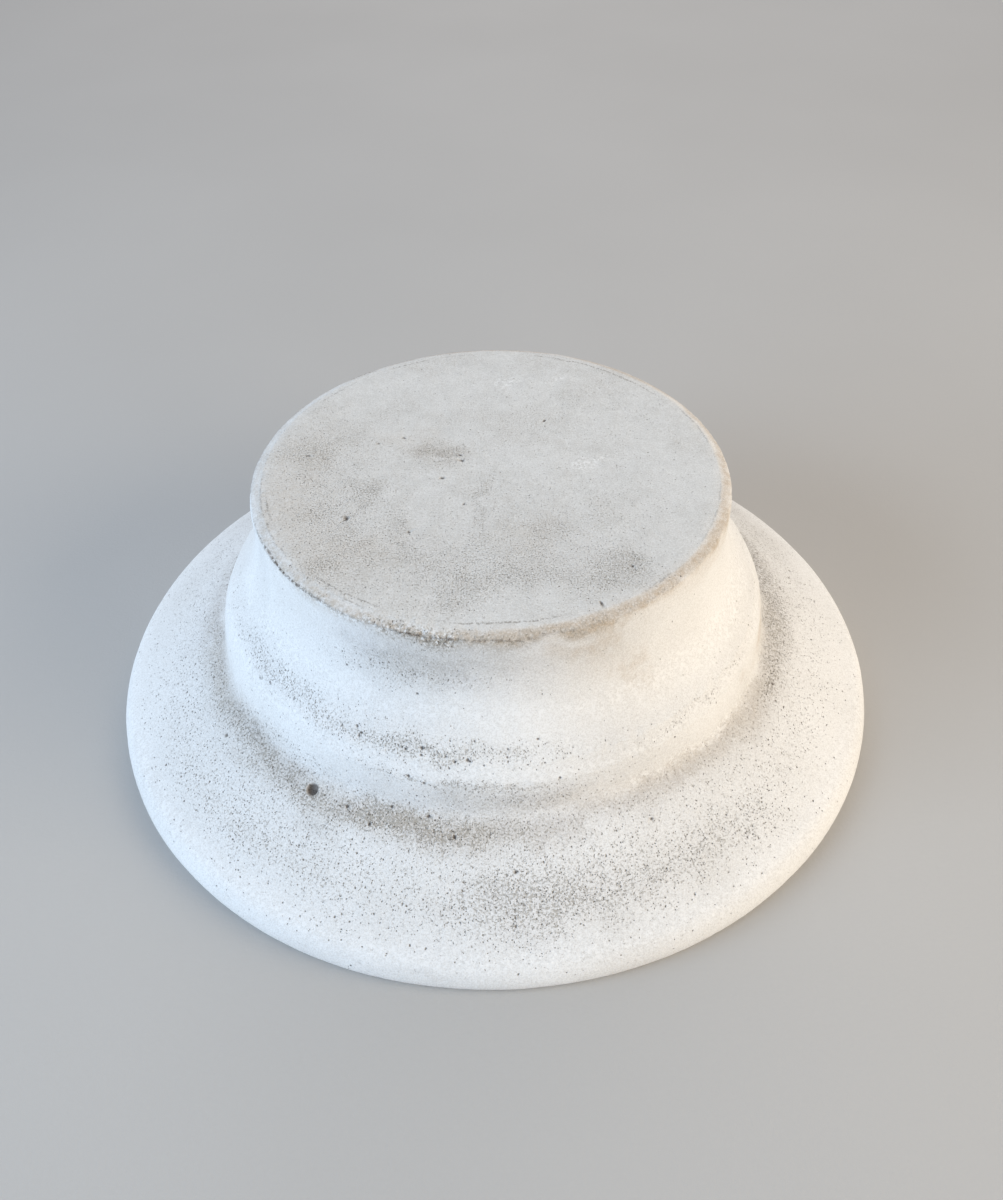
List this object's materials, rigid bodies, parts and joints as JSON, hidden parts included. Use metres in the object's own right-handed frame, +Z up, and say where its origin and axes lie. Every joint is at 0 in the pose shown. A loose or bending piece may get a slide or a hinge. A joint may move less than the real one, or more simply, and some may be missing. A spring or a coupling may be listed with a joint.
{
  "type": "plaster jigger mould",
  "caption": "Round plaster jigger mould resting foot up, with a stepped neck, a sloping flange and a flared forming hollow beneath.",
  "frame": {"origin": "centre of the working face, on the axis the mould spins on", "axes": "+Z up along the spinning axis, from the working face through the foot; X and Y are free, as the mould is round"},
  "size_m": [0.26, 0.26, 0.0865],
  "materials": {
    "plaster": "matte",
    "galvanised_wire": "satin",
    "crimped_steel": "satin"
  },
  "bodies": {
    "root": {"mould_body": "plaster", "rim_hoop": "galvanised_wire", "rim_hoop_ferrule": "crimped_steel", "neck_hoop": "galvanised_wire", "neck_hoop_ferrule": "crimped_steel"}
  },
  "joints": []
}
